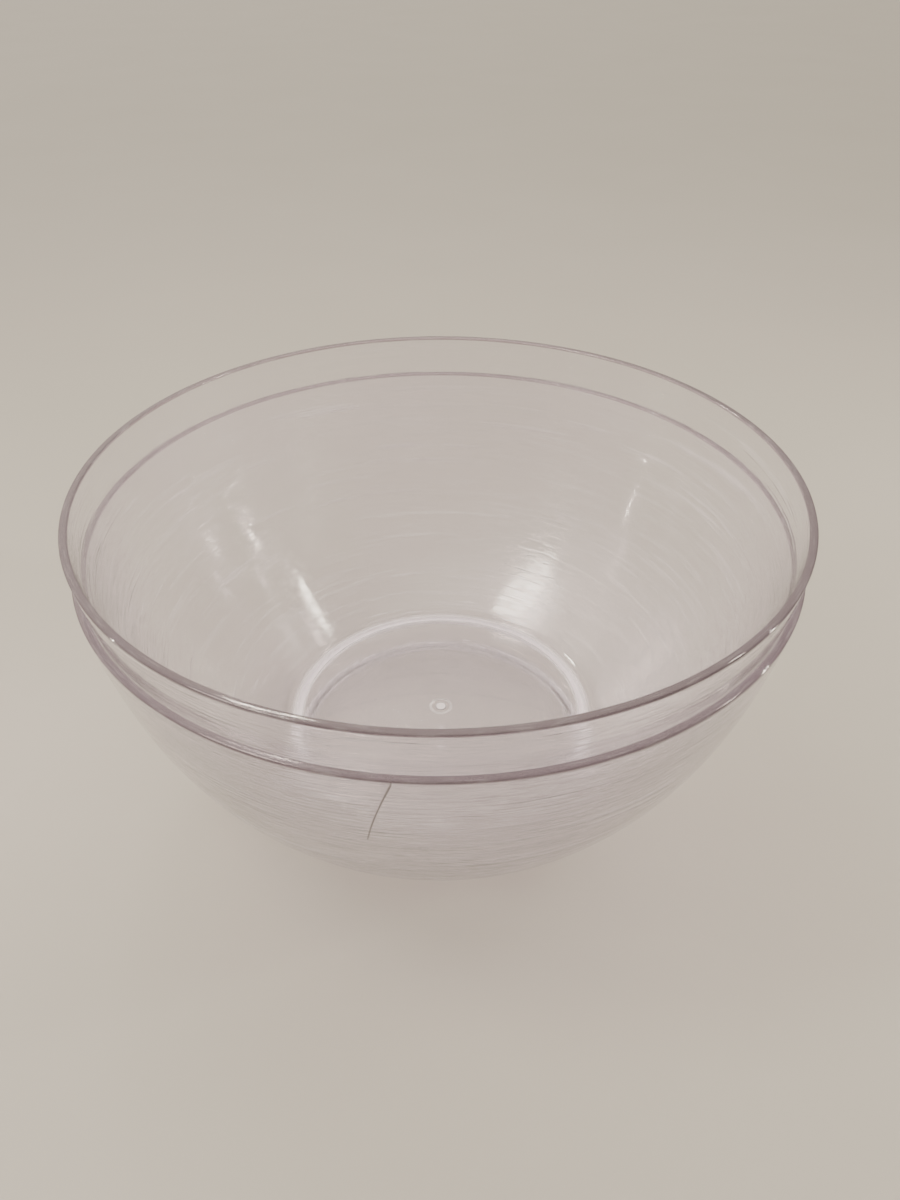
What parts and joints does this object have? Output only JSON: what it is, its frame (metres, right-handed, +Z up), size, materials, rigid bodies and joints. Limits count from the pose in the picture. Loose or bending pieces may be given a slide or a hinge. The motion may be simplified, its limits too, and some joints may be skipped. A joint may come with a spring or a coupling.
{
  "type": "nested serving bowl pair",
  "caption": "Deep round see-through plastic serving bowls for chips or dip, nested one inside the other on a low foot ring.",
  "frame": {"origin": "centre of the lower bowl's foot ring, on the plane that the foot stands on", "axes": "+Z up along the bowls' common axis; +X and +Y are any two square directions, because the bowls are round"},
  "size_m": [0.28, 0.28, 0.1457],
  "materials": {
    "lower_bowl_plastic": "clear moulded plastic with a faint lavender tint, glossy, lightly scuffed",
    "upper_bowl_plastic": "clear moulded plastic with a faint lavender tint, glossy, fine circular scuffs inside"
  },
  "bodies": {
    "lower_bowl": {"lower_bowl": "lower_bowl_plastic"},
    "upper_bowl": {"upper_bowl": "upper_bowl_plastic"}
  },
  "joints": [
    {"name": "upper_bowl_lift", "type": "slide", "parent": "lower_bowl", "child": "upper_bowl", "axis": [0, 0, 1], "range_m": [0, 0.12]}
  ]
}
